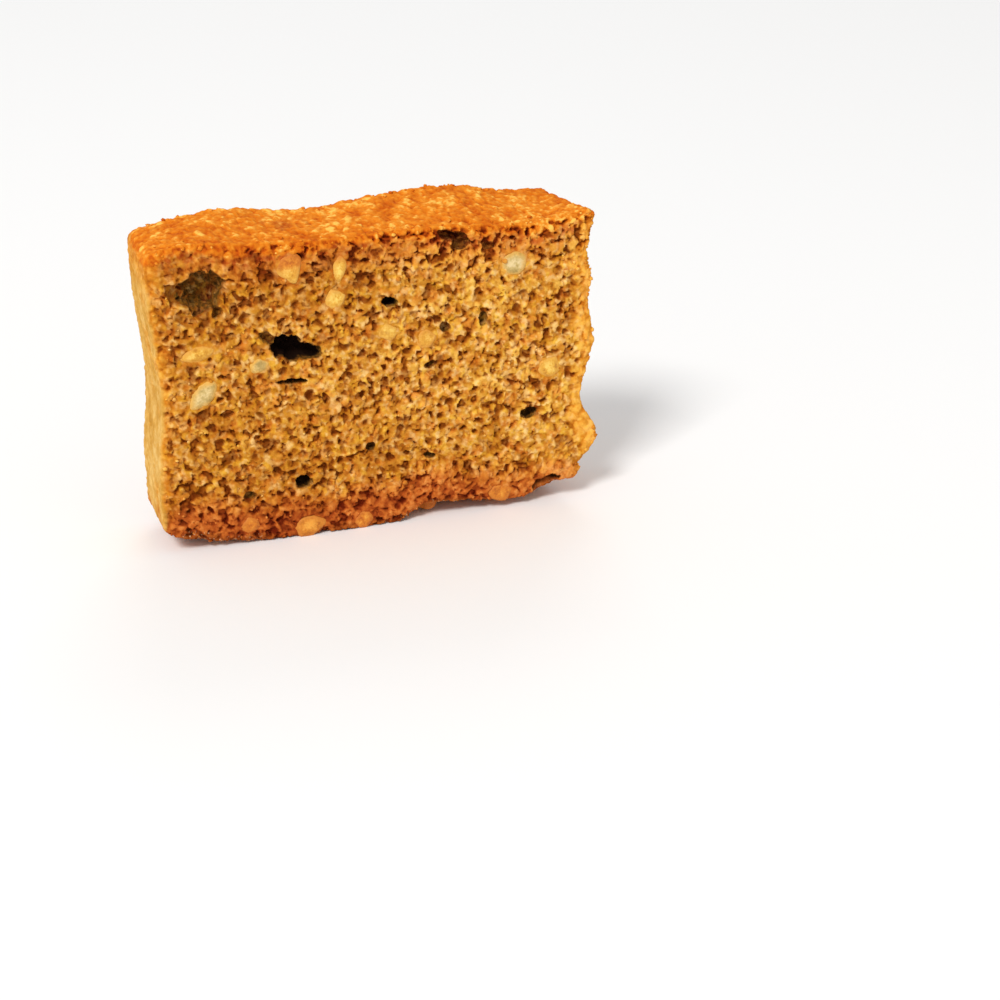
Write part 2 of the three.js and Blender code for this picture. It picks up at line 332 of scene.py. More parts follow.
box_points, box_sink, box_faces, box_maps = quarter_box()
print("a quarter:", len(box_points), "points,", 2 * len(box_faces[0]) + len(box_faces[1]), "triangles")

# %% [markdown]
# ## Where each nut sits
# The construction model holds every nut piece as its own solid. Flat boards are laid against it from
# many sides. How far each board is from the nut's middle is enough to tell whether a point is
# inside, and to grow a surface of the same shape. A few more boards cut into the nut, as the knife
# did.

# %% Measure the nuts of the model
BOARDS = 220
AT_CUT = HALF_DEPTH - 2.5  # a nut whose middle is this far front or back lies in a cut face
COVERED = 0.5  # each nut is this much wider all round, because crumb covers its rim
WHOLE = {"round_nut", "slanted_nut", "flat_nut", "upright_nut"}  # these are cut the least
# How far out the cuts are, over the nut's reach: for whole nuts, others in a cut face, in the crust.
WHOLE_SHARES, FACE_SHARES, CRUST_SHARES = (0.9, 1.1), (0.6, 0.9), (0.6, 0.95)
FACET_SLANT, FACET_SHARES = 0.5, (0.75, 0.95)  # of the flat facet below a nut in the crust
FULLER = 1.2  # how much such a nut is fuller between its cuts, which makes its corners sharp


def directions(count):
    """Directions spread evenly over a ball: the height goes from 1 to -1 in equal steps, and the
    turn goes on by the golden angle each time."""
    n = np.arange(count) + 0.5
    height = 1 - 2 * n / count
    turn = n * np.pi * (3 - np.sqrt(5))
    across = np.sqrt(1 - height**2)
    return np.stack([across * np.cos(turn), across * np.sin(turn), height], 1)


def chop_ways(random, count, flat_axis):
    """Directions of cuts round the axis that a nut lies flat to, each leaning a little."""
    turn = 2 * np.pi * (np.arange(count) + random.uniform(-0.3, 0.3, count) + random.random()) / count
    ways = np.stack([np.cos(turn), np.sin(turn), random.uniform(-0.4, 0.4, count)], 1)
    return unit(np.roll(ways, flat_axis - 2, axis=1))


def chopped(middle, corners, flat_axis, shares, number, wider=COVERED):
    """A nut's middle, its boards, and how far out each is. The last boards are cuts, at a share of
    the nut's reach: four or five round it, and for a nut in the crust a slanting one below. Such a
    nut is fuller between its cuts. Last, the nut is made wider all round the axis it lies flat
    to."""
    random = np.random.default_rng(300 + number)
    cuts = chop_ways(random, random.integers(4, 6), flat_axis)
    cut_shares = random.uniform(*shares, len(cuts))
    fuller = 1.0
    if flat_axis == 2:
        facet = [*random.uniform(-FACET_SLANT, FACET_SLANT, 2), -1]
        cuts = np.vstack([cuts, unit(np.array([facet]))])
        cut_shares = np.append(cut_shares, random.uniform(*FACET_SHARES))
        fuller = FULLER
    boards = np.vstack([directions(BOARDS), cuts])
    reach = (corners @ boards.T).max(0)
    reach[:BOARDS] *= fuller
    reach[BOARDS:] *= cut_shares
    reach += wider * np.sqrt(1 - boards[:, flat_axis] ** 2)
    return {"middle": middle, "boards": boards, "reach": reach, "flat_axis": flat_axis}


def measure_nut(node, number):
    """The chopped form of a nut of the model. In a cut face a nut lies flat to Y, and its widest
    outline is carried out to the cut, where the knife shows it. The others lie flat to Z."""
    corners = np.array([corner.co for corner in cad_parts[node].data.vertices]) / MM
    middle = (corners.min(0) + corners.max(0)) / 2
    if abs(middle[1]) < AT_CUT:
        return chopped(middle, corners - middle, 2, CRUST_SHARES, number)
    at_face = corners.copy()
    at_face[:, 1] = corners[:, 1].min() if middle[1] < 0 else corners[:, 1].max()
    corners = np.vstack([corners, at_face])
    return chopped(middle, corners - middle, 1, WHOLE_SHARES if node in WHOLE else FACE_SHARES, number)


nuts = {node: measure_nut(node, n) for n, node in enumerate(sorted(set(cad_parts) - {"slice"}))}
print(len(nuts), "nut pieces")


def outside_nut(points, nut):
    """How far points are outside a nut, less than 0 inside it: the largest distance past a board."""
    return ((points - nut["middle"]) @ nut["boards"].T - nut["reach"]).max(1)


# %% [markdown]
# ## The bubbles that the knife opened
# A few bubbles are far larger than the rest. They are pushed into the plain surface first, so that
# the fine crumb also covers their walls.

# %% Large bubbles, holes and slits
FRONT_HOLES = [
    # The darkness is shade painted into the hole's colour.
    # x, z, half length, half height and depth in mm; tilt in degrees; steepness of the wall; darkness
    (-39.2, 59.2, 5.3, 4.9, 5.2, 8, 4, 0.5),
    (-43.8, 59.4, 3.2, 2.8, 2.4, -10, 3, 0.3),
    (-42.6, 53.2, 3, 1.6, 1.1, -35, 2, 0.1),
    (-36.2, 54.6, 1.3, 1.5, 2.4, 0, 3, 0.4),
    (-21.2, 44.9, 4.6, 2.8, 5, -20, 4, 1),
    (-17.8, 44, 3.9, 2.1, 4.4, -16, 4, 1),
    (-25.6, 47.4, 2.6, 1.2, 2.2, -38, 2, 0.5),
    (-20.6, 37.2, 3.7, 0.75, 3.6, -3, 4, 0.9),
    (-18, 65, 1.6, 1, 1.6, 10, 3, 0.4),
    (16.6, 66.2, 3.4, 1.3, 3.2, -10, 3, 0.7),
    (18.4, 64.4, 2.6, 1.4, 2.6, 12, 3, 0.7),
    (24.6, 63.4, 1.6, 1, 1.8, 0, 3, 0.5),
    (2, 52.8, 1.9, 1.15, 3.2, -8, 4, 1),
    (14.4, 45.6, 1.5, 1, 2, -30, 4, 0.6),
    (-19, 13.3, 2, 1.6, 3.4, 5, 4, 0.9),
    (34.2, 22.9, 2, 1.15, 2.8, 12, 4, 0.8),
    (11, 37.4, 1.7, 0.9, 2, 8, 4, 0.7),
    (-31, 11.6, 1.5, 1, 1.8, 0, 3, 0.6),
    (-3.4, 19.6, 1.2, 1.3, 2.2, 0, 4, 0.7),
    (23.2, 46.6, 1, 1.6, 2, 0, 3, 0.6),
    (10.4, 15.6, 1.6, 0.8, 1.8, -10, 3, 0.6),
    (38.6, 4.6, 3.6, 1.9, 3.2, 20, 3, 0.7),
]
BACK_HOLES = [
    (-24, 50, 4.5, 3.4, 6, 30, 4, 0.7),
    (30, 30, 4, 2, 5, -12, 4, 0.9),
    (8, 61, 3.2, 1.2, 3, 6, 4, 0.6),
    (-40, 36, 1.8, 1.3, 3, 0, 4, 0.7),
    (4.4, 18, 2.2, 1, 2.6, -15, 4, 0.6),
    (38, 58, 1.5, 1.5, 2.4, 0, 4, 0.6),
]


def open_holes(points, holes):
    """Depth, shade and wall of the named holes. With q the distance from a hole's middle along its
    tilted axes over its half sizes, made uneven by waves, the depth is the hole's own times r = 1 -
    q^steepness. The shade is the hole's darkness, reached a little way in, and the colours paint it in
    as shade. The wall is 1 where the surface falls steeply, between rim and floor."""
    depth, shade, floor = (np.zeros(len(points)) for _ in range(3))
    ragged = 0.2 * waves(points, 1.9, 41) + 0.15 * waves(points, 0.8, 42)
    for x, z, along, across, deep, tilt, steepness, darkness in holes:
        turn = np.radians(tilt)
        dx, dz = points[:, 0] - MIDDLE_X - x, points[:, 2] - z
        u = (np.cos(turn) * dx + np.sin(turn) * dz) / along
        v = (np.cos(turn) * dz - np.sin(turn) * dx) / across
        q = np.maximum(np.hypot(u, v) + ragged, 0)
        r = np.maximum(0, 1 - q**steepness)
        depth = np.maximum(depth, deep * r)
        shade = np.maximum(shade, darkness * ramp(q, 1.06, 0.86))
        floor = np.maximum(floor, ramp(r, 0.7, 0.95))
    return depth, shade, ramp(depth, 0, 0.8) * (1 - floor)


# %% [markdown]
# ## Crumb and crust over the sponge
# The cut faces are open crumb: bubbles that nearly touch, whose walls stand up as rims round pits. The
# crust is finer: sandy on top, smooth where the tin was, torn at the ragged end. How deep a pit is,
# the height of the relief and the tone of each grain are kept on the mesh for its colours, which paint
# shade into the pits and light onto the rims.

# %% Relief of the crumb and of the crusts
CUT_FACE = (0.55, 0.9)  # how much a surface must face the knife's way to be crumb
CRUST_FACE = (0.5, 0.8)  # and how much up, down, left or right to be crust


def wrinkle(points, by, size, series):
    """Points moved by random waves in X, Y and Z, so that what is round comes out ragged."""
    return points + by * np.stack([waves(points, size, series + k) for k in range(3)], 1)


def crumb_relief(points):
    """Height of the cut crumb in mm: broad bumps and rounded grains of two sizes. Some grains are
    torn out and leave a ragged pit, and some round bubbles lie between. Gives the height without the
    pits, the pits' depth, and a tone for each grain."""
    ragged = wrinkle(wrinkle(points, 0.5, 1.9, 20), 0.2, 0.7, 23)
    grains, tone = granules(ragged, 1.3, 51)
    specks, speck_tone = granules(ragged, 0.75, 56)
    pits = 0.8 * ramp(tone, 0.4, 0.06) * (1.3 - 0.6 * speck_tone) + 0.4 * ramp(speck_tone, 0.35, 0.1)
    pits = np.maximum(pits, bubbles(ragged, 3.8, 0.4, 0.5, 1.3, 61))
    pits = np.maximum(pits, bubbles(ragged, 1.9, 0.6, 0.3, 0.85, 66))
    flesh = 0.3 * billows(points, 5.5, 76) + 0.26 * grains + 0.1 * specks
    return flesh, pits, 0.7 * tone + 0.3 * speck_tone


def crust_relief(points, outward, crumb):
    """Height of the crusts in mm, mixed by which way a point faces: sandy skin with shallow pits
    above and below, smooth skin at the left end, torn crumb at the right end. Also gives the pits'
    depth, a tone for each grain, and how much a point belongs to the right end."""
    ragged = wrinkle(points, 0.35, 0.9, 26)
    sand, tone = granules(ragged, 1.2, 81)
    pits = bubbles(ragged, 2.6, 0.5, 0.3, 0.95, 86)
    skin = 0.35 * billows(points, 3.2, 91) + 0.36 * sand + 0.3 * waves(ragged, 1.6, 95) - 0.6 * pits
    smooth = 0.16 * billows(points, 3.0, 94) + 0.16 * sand - 0.45 * pits
    torn = 0.55 * billows(points, 4.4, 97) + 0.7 * crumb
    x, _, z = outward.T
    flat, left, right = (ramp(facing, *CRUST_FACE) for facing in (np.abs(z), -x, x))
    total = flat + left + right
    height = (flat * skin + left * smooth + right * torn) / np.maximum(total, 0.01)
    height = np.where(total > 0.01, height, skin)
    return height, 0.6 * pits, 0.6 * tone + 0.2 * (1 + waves(points, 2.4, 96)), right


# %% Where crumb is closer and where it is browner
MOST_SPARED = 0.85


def low_right(points):
    """1 in the lower right corner of the slice, and 0 well away from it."""
    return ramp(points[:, 0], 24, 38) * ramp(points[:, 2], 24, 15)


def spared_pits(points):
    """The share of the pits' depth that is filled: much at both ends, under the top left edge and in
    the lower right corner, and less than none in a band under the top."""
    top, _, left, right = gaps_to_crust(points).T
    spared = 0.7 * ramp(right, 5.5, 0.4) + 0.5 * ramp(left, 4, 0.4)
    spared += 0.45 * ramp(top, 9, 3) * ramp(left, 30, 14)
    band = 0.35 * ramp(top, 0.4, 1.6) * ramp(top, 11, 5) * ramp(left, 22, 34)
    spared -= band * (1 + waves(points, 9, 118))
    return np.minimum(spared + 0.4 * low_right(points), MOST_SPARED)


def browning(points):
    """How much browner the crumb is: towards the left end, low in the middle and in a patch under
    the top, left of the middle, less a little in the lower right corner."""
    x, _, z = points.T
    patch = np.exp(-(0.3 * (x + 9) ** 2 + (z - 60) ** 2) / 45)
    low = ramp(z, 38, 14) * ramp(np.abs(x), 42, 22)
    return 0.28 * ramp(x, 12, -52) + 0.2 * low + 0.5 * patch - 0.1 * low_right(points)


# %% Put all relief together
UNDER_CRUMB = 0.2  # the depth at which a nut counts as lying open
POCKET_DEPTH = 1.6  # how far the sponge draws back under a nut
NUT_SPAN = 8  # a nut changes nothing farther than this along X, Y or Z
DRAWN_UP = 0.45  # how far the sponge draws back where it would touch the floor


def close_round_nuts(points, outward, height, pits, flesh):
    """Changes height and pits near the nuts. Within 1 mm of a nut the crumb closes up, 0.05 mm and
    0.4 of its flesh high. Where a nut is, it draws back to leave a pocket."""
    for nut in nuts.values():
        near = np.flatnonzero(np.abs(points - nut["middle"]).max(1) < NUT_SPAN)
        out = outside_nut(points[near] - UNDER_CRUMB * outward[near], nut)
        out += 0.25 * waves(points[near], 1.6, 121) + 0.14 * waves(points[near], 0.6, 122)
        beside = 0.85 * ramp(out, 1, 0)
        height[near] = blend(height[near], 0.05 + 0.4 * flesh[near], beside)
        height[near] = blend(height[near], -POCKET_DEPTH, ramp(out, -0.3, -0.7))
        pits[near] *= 1 - beside


def relief(points, outward):
    """Moves points of the plain slice out along their directions by the relief of crumb and crusts,
    lumpier and calmer on the walls of the named holes. Gives the new points and the values that the
    colours read."""
    cut = ramp(np.abs(outward[:, 1]), *CUT_FACE)
    front, back = (open_holes(points, holes) for holes in (FRONT_HOLES, BACK_HOLES))
    holes, shade, wall = (np.where(outward[:, 1] < 0, f, b) * cut for f, b in zip(front, back))
    opened = points - outward * holes[:, None]
    lumps = np.stack([waves(opened, 1.7, 125), np.zeros(len(points)), waves(opened, 1.7, 126)], 1)
    opened += 0.55 * wall[:, None] * lumps
    calm = 1 - 0.6 * wall
    flesh, pits, tone = crumb_relief(opened)
    flesh, pits, tone = flesh * calm, pits * calm, blend(0.5, tone, calm)
    crumb = flesh - 0.85 * pits
    crust, skin_pits, sand_tone, right = crust_relief(points, outward, crumb)

    spared, open_crumb = spared_pits(points), np.maximum(cut, 0.8 * right)
    height = blend(crust, crumb, np.maximum(cut, 0.2)) + spared * cut * pits
    height -= DRAWN_UP * ramp(-outward[:, 2], *CRUST_FACE) * ramp(points[:, 2], 1.2, 0.3)
    pits = blend(skin_pits, pits * (1 - spared), open_crumb)
    close_round_nuts(points, outward, height, pits, flesh)
    tone = blend(sand_tone, tone, open_crumb) - browning(points) * cut
    seen = {"pit": pits, "shade": shade, "tone": tone, "lift": height}
    return opened + outward * height[:, None], seen


# %% [markdown]
# ## The four quarters as meshes
# The other quarters are the front left one mirrored, with their faces turned round where one mirror
# alone would leave them inside out. Where quarters meet, each runs on a little way under its
# neighbour, so that the shading carries across the seam.

# %% Put the sponge into meshes
scene = bpy.context.scene


def put(name, data):
    """A new object with this data, put into the scene."""
    made = bpy.data.objects.new(name, data)
    scene.collection.objects.link(made)
    return made


def new_piece(name, points, faces, maps=(), **kept):
    """A piece from points in mm and faces in arrays, one for each corner count. The maps are arrays
    with the places of the face corners on a flat map. What is kept under a name is a number, or a
    colour of four numbers, for each point."""
    mesh = bpy.data.meshes.new(name)
    mesh.from_pydata((points * MM).tolist(), [], [face for part in faces for face in part.tolist()])
    mesh.shade_smooth()
    if maps:
        flat = np.hstack([part.ravel() for part in maps]).astype(np.float32)
        mesh.uv_layers.new(name="OFBake").uv.foreach_set("vector", flat)
    mesh.validate()
    for key, values in kept.items():
        kind, slot = ("FLOAT", "value") if values.ndim == 1 else ("FLOAT_COLOR", "color")
        stored = mesh.attributes.new(key, kind, "POINT")
        stored.data.foreach_set(slot, values.astype(np.float32).ravel())
    piece = put(name, mesh)
    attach(piece, "root")
    return piece


BAKED_REACH = 16  # how deep under a crust the baking can still be seen
LEAST_HEIGHT = 0.12  # of the sponge over the floor, because the nuts carry it


def baked(points):
    """How near the sponge is to its top, underside, left end and right end: 1 at the crust, 0 at the
    reach of the baking. Waves make it stray, but not on the face of the underside. The band over the
    underside thins out towards both ends."""
    gaps = gaps_to_crust(points)
    ends = 0.1 * np.maximum(points[:, 0], 0) + 4 * ramp(gaps[:, 2], 6, 0)
    off_face = ramp(gaps[:, 1], -0.3, 0.9)
    stray = [
        0.8 * waves(points, 2.6, 101) + 0.6 * waves(points, 1.2, 102) + 1.4 * waves(points, 9, 103),
        (2.6 * billows(points, 5.0, 104) + ends) * off_face,
        0.8 * waves(points, 3.0, 107),
        1.4 * billows(points, 4.0, 110),
    ]
    return np.clip(1 - (gaps + np.stack(stray, 1)) / BAKED_REACH, 0, 1)


def sponge_quarter(side, depth):
    """One quarter of the sponge, with its relief and what its colours read."""
    right, back = side == "right", depth == "back"
    mirror = np.where([right, back, False], -1, 1)
    plain, outward = draw_out(box_points * mirror)
    points, seen = relief(plain, outward)
    points[:, 2] = np.maximum(points[:, 2], LEAST_HEIGHT)
    points -= outward * box_sink[:, None]
    order = -1 if right != back else 1
    faces, maps = ([part[:, ::order] for part in parts] for parts in (box_faces, box_maps))
    piece = new_piece(f"sponge_{depth}_{side}", points, faces, maps, **seen, bake=baked(plain))
    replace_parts(piece, "slice")
    return piece


quarters = [sponge_quarter(side, depth) for depth in ("front", "back") for side in ("left", "right")]
print("sponge:", sum(len(piece.data.polygons) for piece in quarters), "faces")

# %% [markdown]
# ## Colours of crumb and crust
# The crumb is golden, with painted light on its raised rims and painted shade in its pits, and towards
# each crust it turns: orange under the top, red-brown over the nut-topped crust, pale at the tin's
# side. One material does it all, so there is no line where one ends. It reads the values kept on the
# mesh and adds finer grain.

# %% A small helper for building materials


class Recipe:
    """Builds a material node by node. Sockets are passed straight from one step to the next."""

    def __init__(self, name):
        self.material = bpy.data.materials.new(name)
        self.material.use_nodes = True
        self.tree = self.material.node_tree
        self.place = self.node("TexCoord", "Object", {})

    def node(self, kind, output, inputs, **settings):
        """One output of a new node, whose inputs, by name or number, get a socket or a value."""
        made = self.tree.nodes.new("ShaderNode" + kind)
        for key, value in settings.items():
            setattr(made, key, value)
        self.plug(made, inputs)
        return made.outputs[output]

    def plug(self, node, inputs):
        for key, value in inputs.items():
            if isinstance(value, bpy.types.NodeSocket):
                self.tree.links.new(value, node.inputs[key])
            else:
                node.inputs[key].default_value = value

    def kept(self, name, output="Fac"):
        return self.node("Attribute", output, {}, attribute_name=name)

    def channels(self, name):
        """The four numbers of a colour kept on the mesh."""
        colour = {0: self.kept(name, "Color")}
        return [*(self.node("SeparateColor", k, colour) for k in range(3)), self.kept(name, "Alpha")]

    def noise(self, size_mm, detail=2, roughness=0.55):
        look = {"Scale": 1 / (size_mm * MM), "Detail": detail, "Roughness": roughness}
        return self.node("TexNoise", "Fac", {"Vector": self.place, **look})

    def times(self, a, b):
        return self.node("Math", 0, {0: a, 1: b}, operation="MULTIPLY")

    def larger(self, a, b):
        return self.node("Math", 0, {0: a, 1: b}, operation="MAXIMUM")

    def add_up(self, *shares):
        """The sum of socket times number, over pairs of both."""
        total = 0.0
        for socket, number in shares:
            total = self.node("Math", 0, {0: total, 1: self.times(socket, number)}, operation="ADD")
        return total

    def fit(self, value, low, high, at_high=1.0, at_low=0.0):
        """Goes smoothly from at_low, where the value is low or less, to at_high at high or more."""
        ends = {1: low, 2: high, 3: at_low, 4: at_high}
        return self.node("MapRange", 0, {0: value, **ends}, interpolation_type="SMOOTHSTEP")

    def mix(self, share, a, b):
        return self.node("Mix", 2, {0: share, 6: a, 7: b}, data_type="RGBA")

    def layers(self, colour, *over):
        """A colour with others laid over it in turn: each comes with its share."""
        for share, layer in over:
            colour = self.mix(share, colour, layer)
        return colour

    def shades(self, value, *stops):
        """Colours from a value: each stop is a place from 0 to 1, then red, green and blue there."""
        shade = self.node("ValToRGB", 0, {0: value})
        marks = shade.node.color_ramp.elements
        for _ in stops[2:]:
            marks.new(0.5)
        for mark, (at, *colour) in zip(marks, stops):
            mark.position = at
            mark.color = paint(*colour)
        return shade

    def bump(self, height, distance_mm, strength):
        look = {"Strength": strength, "Distance": distance_mm * MM}
        return self.node("Bump", 0, {"Height": height, **look})

    def finish(self, colour, roughness, gloss, bump):
        looks = {"Base Color": colour, "Roughness": roughness, "Specular IOR Level": gloss}
        self.plug(self.tree.nodes["Principled BSDF"], {**looks, "Normal": bump})
        return self.material


def paint(red, green, blue):
    """A colour as seen on a screen, from 0 to 255, as the linear light values that shaders take."""
    seen = np.array([red, green, blue]) / 255
    light = np.where(seen <= 0.04045, seen / 12.92, ((seen + 0.055) / 1.055) ** 2.4)
    return (*light, 1.0)


# %% The sponge's colours


def crumb_colour(r, value):
    """Golden crumb, mottled with warmer, yellower and paler grains."""
    golden = r.shades(
        value, (0.12, 120, 54, 4), (0.38, 178, 104, 24), (0.6, 204, 136, 42), (0.86, 242, 188, 84)
    )
    warm = r.shades(value, (0.15, 150, 62, 10), (0.4, 200, 102, 28), (0.8, 240, 156, 66))
    yellow = r.shades(value, (0.2, 144, 82, 2), (0.5, 212, 146, 28), (0.8, 250, 198, 62))
    pale = r.shades(value, (0.2, 148, 92, 34), (0.5, 214, 158, 84), (0.8, 252, 214, 146))
    return r.layers(
        golden,
        (r.fit(r.noise(3.2), 0.45, 0.7, 0.6), warm),
        (r.fit(r.noise(2.1, 1), 0.5, 0.68, 0.5), yellow),
        (r.fit(r.noise(1.5, 1), 0.48, 0.66, 0.6), pale),
    )


def crusts_over(r, colour, reddish, value, soft, bake):
    """The crumb's colour, reddish and scorched towards the crusts, with the crusts over it: torn
    crumb near both ends, the tin's side at the left end, the underside, browned most and sugared at
    its face, and the orange top."""
    top, under, left, right = bake
    ruddy = r.shades(value, (0.15, 112, 40, 6), (0.42, 182, 88, 22), (0.75, 230, 146, 56))
    scorched = r.shades(value, (0.3, 140, 34, 6), (0.7, 190, 78, 18))
    torn = r.shades(value, (0.2, 172, 82, 4), (0.45, 218, 130, 26), (0.76, 250, 182, 70))
    side = r.shades(soft, (0.36, 198, 142, 54), (0.5, 216, 164, 78), (0.66, 232, 190, 112))
    brown = r.shades(
        value, (0.2, 100, 28, 6), (0.42, 160, 70, 22), (0.62, 198, 104, 38), (0.85, 232, 150, 74)
    )
    browned = r.shades(value, (0.25, 104, 42, 6), (0.55, 156, 76, 24), (0.85, 194, 114, 44))
    orange = r.shades(
        value, (0.2, 162, 56, 8), (0.4, 198, 92, 14), (0.55, 218, 118, 22), (0.68, 230, 138, 36),
        (0.82, 250, 192, 88),
    )
    at_face = r.fit(under, 0.9, 0.97)
    sugar = r.times(r.fit(r.noise(0.6, 1), 0.6, 0.68), r.fit(r.noise(9.0, 1), 0.48, 0.6, 0.8))
    return r.layers(
        colour,
        (reddish, ruddy),
        (r.times(r.fit(top, 0.72, 0.84), r.fit(r.noise(2.0), 0.47, 0.62, 0.7)), scorched),
        (r.larger(r.fit(left, 0.72, 0.98, 0.5), r.fit(right, 0.66, 0.94, 0.75)), torn),
        (r.times(r.fit(left, 0.93, 1.0), r.fit(top, 0.25, 0.85, 0.1, 1.0)), side),
        (r.times(r.fit(under, 0.3, 0.76), r.fit(left, 0.97, 1.0, 0.2, 1.0)), brown),
        (r.times(at_face, 0.8), browned),
        (r.times(at_face, sugar), paint(236, 190, 144)),
        (r.fit(top, 0.86, 0.95), orange),
    )


def sponge_material():
    """Crumb and crusts, with painted shade: darker in the pits by their depth, and in the named holes
    by their kept shade, spotted olive or rust where that is slight and almost black where it is deep."""
    r = Recipe("baked_sponge")
    top, under, left, right = bake = r.channels("bake")
    tone, shade = r.kept("tone"), r.kept("shade")
    fine, broad = r.noise(0.7, 2, 0.5), r.noise(6.0, 3)
    # The relief's height, kept as lift, makes raised crumb lighter and low crumb darker: painted light
    # and shade.
    value = r.add_up((tone, 0.4), (fine, 0.35), (broad, 0.4), (r.kept("lift"), 0.32))
    soft = r.add_up((broad, 0.6), (tone, 0.25), (fine, 0.15))
    reddish = r.larger(r.fit(top, 0.3, 0.86, 0.7), r.fit(under, 0.15, 0.6, 0.8))
    ends = r.larger(r.fit(left, 0.2, 0.75), r.fit(right, 0.2, 0.75))
    reddish = r.times(reddish, r.fit(ends, 0.0, 1.0, 0.3, 1.0))
    colour = crusts_over(r, crumb_colour(r, value), reddish, value, soft, bake)

    # Painted shade: olive or rust spots in the named holes, reddish brown in the pits, near black deep
    # in the holes.
    rusty = r.larger(r.fit(shade, 0.26, 0.44, 0.0, 1.0), r.fit(broad, 0.5, 0.62))
    rusty = r.larger(r.fit(top, 0.66, 0.84), rusty)
    painted_hollow_shade = r.times(r.fit(shade, 0.0, 0.5), r.fit(r.noise(0.9), 0.36, 0.62, 0.94, 0.56))
    colour = r.layers(
        colour,
        (r.fit(r.kept("pit"), 0.1, 1.1, 0.7), r.mix(reddish, paint(120, 54, 6), paint(108, 22, 2))),
        (painted_hollow_shade, r.mix(rusty, paint(74, 50, 16), paint(100, 36, 10))),
        (r.fit(shade, 0.5, 1.0), paint(24, 10, 4)),
    )
    return r.finish(colour, r.fit(fine, 0.2, 0.8, 0.82, 0.98), 0.08, r.bump(fine, 0.2, 0.5))


sponge_finish = sponge_material()
for piece in quarters:
    piece.data.materials.append(sponge_finish)
print("sponge material has", len(sponge_finish.node_tree.nodes), "nodes")

# %% [markdown]
# ## Chopped nuts
# Each nut is a rounded body with flat sides where the knife chopped it. Along each direction from
# its middle, the nut ends at the nearest board. Blending the boards a little rounds the edges, which
# are left sharper on nuts that lie in the crust.

# %% Nut surfaces
EDGE_SHARPNESS = {1: 34, 2: 110}  # of a nut's edges, by the axis it lies flat to
UNEVEN = 0.03  # the height of the waves on a nut, as a share of its radius
ROUND_STEPS, HEIGHT_STEPS = 60, 36  # of the grid on each nut of the model
STANDS_OUT = 0.1  # how far a nut stands out of a cut face, because the knife drags it
NOT_LOW = 10  # only nuts higher than this stand out

# How toasted a nut is, from 0, pale, to 1, brown. Those in the crust are browner than those inside.
TOAST = {
    "round_nut": 0.0, "slanted_nut": 0.12, "wedge_nut": 0.24, "flat_nut": 0.34, "upright_nut": 0.28,
    "small_nut_1": 0.16, "small_nut_2": 0.3, "small_nut_3": 0.28, "small_nut_4": 0.4,
    "small_nut_5": 0.3,
}
TOAST_RANGES = {"back": (0.0, 0.4), "edge": (0.5, 0.75), "top": (0.32, 1.0)}
MORE_TOAST = 0.42  # of a nut just under the orange crust


def toast_of(node, number):
    """The toast of a named nut, or one in its kind's range, picked by the golden ratio."""
    chance = number * 0.618 % 1
    low, high = next((r for kind, r in TOAST_RANGES.items() if kind in node), (0, 0))
    return TOAST.get(node, low + (high - low) * chance)


def nut_shell(nut, round_steps, height_steps, number):
    """A closed surface round a nut's middle. Along direction d its radius is the least of h / (n.d)
    over the boards with normal n at distance h, taken softly as (sum of (n.d / h)^s) to the power of
    -1/s with sharpness s, and made uneven by waves. Gives points, quads, triangles, and how near
    each point is to the nut's outline, seen along the axis that it lies flat to."""
    turn = np.linspace(0, 2 * np.pi, round_steps, endpoint=False)
    height = np.linspace(0, np.pi, height_steps + 1)[1:-1]
    h, t = np.meshgrid(height, turn, indexing="ij")
    ring = np.stack([np.sin(h) * np.cos(t), np.sin(h) * np.sin(t), np.cos(h)], -1).reshape(-1, 3)
    way = np.vstack([ring, [0, 0, 1], [0, 0, -1]])
    boards, reach, flat_axis = nut["boards"], nut["reach"], nut["flat_axis"]
    sharpness = EDGE_SHARPNESS[flat_axis]
    nearness = np.maximum(way @ boards.T, 0) / reach
    radius = np.sum(nearness**sharpness, axis=1) ** (-1 / sharpness)
    radius *= 1 + UNEVEN * waves(way * 4 + number, 1.2, 131)
    offset = way * radius[:, None]
    upright = np.abs(boards[:, flat_axis]) < 0.45
    rim = (offset @ boards[upright].T / reach[upright]).max(1)
    index = np.arange(len(ring)).reshape(len(height), round_steps)
    index = np.hstack([index, index[:, :1]])
    north = np.stack([np.full(round_steps, len(ring)), index[0, :-1], index[0, 1:]], 1)
    south = np.stack([np.full(round_steps, len(ring) + 1), index[-1, 1:], index[-1, :-1]], 1)
    return nut["middle"] + offset, squares(index), np.vstack([north, south]), rim


def nut_piece(name, nut, toast, number):
    """One nut of the model. In a cut face it stands out a little, and none goes under the floor.
    Near the orange crust it is toasted more."""
    points, walls, ends, rim = nut_shell(nut, ROUND_STEPS, HEIGHT_STEPS, number)
    cut = np.round(nut["middle"][1] / HALF_DEPTH)  # -1 and 1 at the cut faces, 0 between them
    points[:, 1] += cut * STANDS_OUT * (nut["middle"][2] > NOT_LOW)
    points[:, 2] = np.maximum(points[:, 2], 0)
    toasts = toast + MORE_TOAST * ramp(baked(points)[:, 0], 0.55, 0.8)
    piece = new_piece(name, points, [walls, ends], rim=rim, toast=toasts)
    piece.data.materials.append(nut_finish)
    return piece


# %% [markdown]
# ## Colours of the nuts
# Raw nut flesh is ivory. Toasting turns it yellow, then tan, then brown, and the thin rims go orange
# first. The toast kept on each nut picks the colour, and noise of two sizes mottles it.

# %% The nuts' material, and the nuts of the model


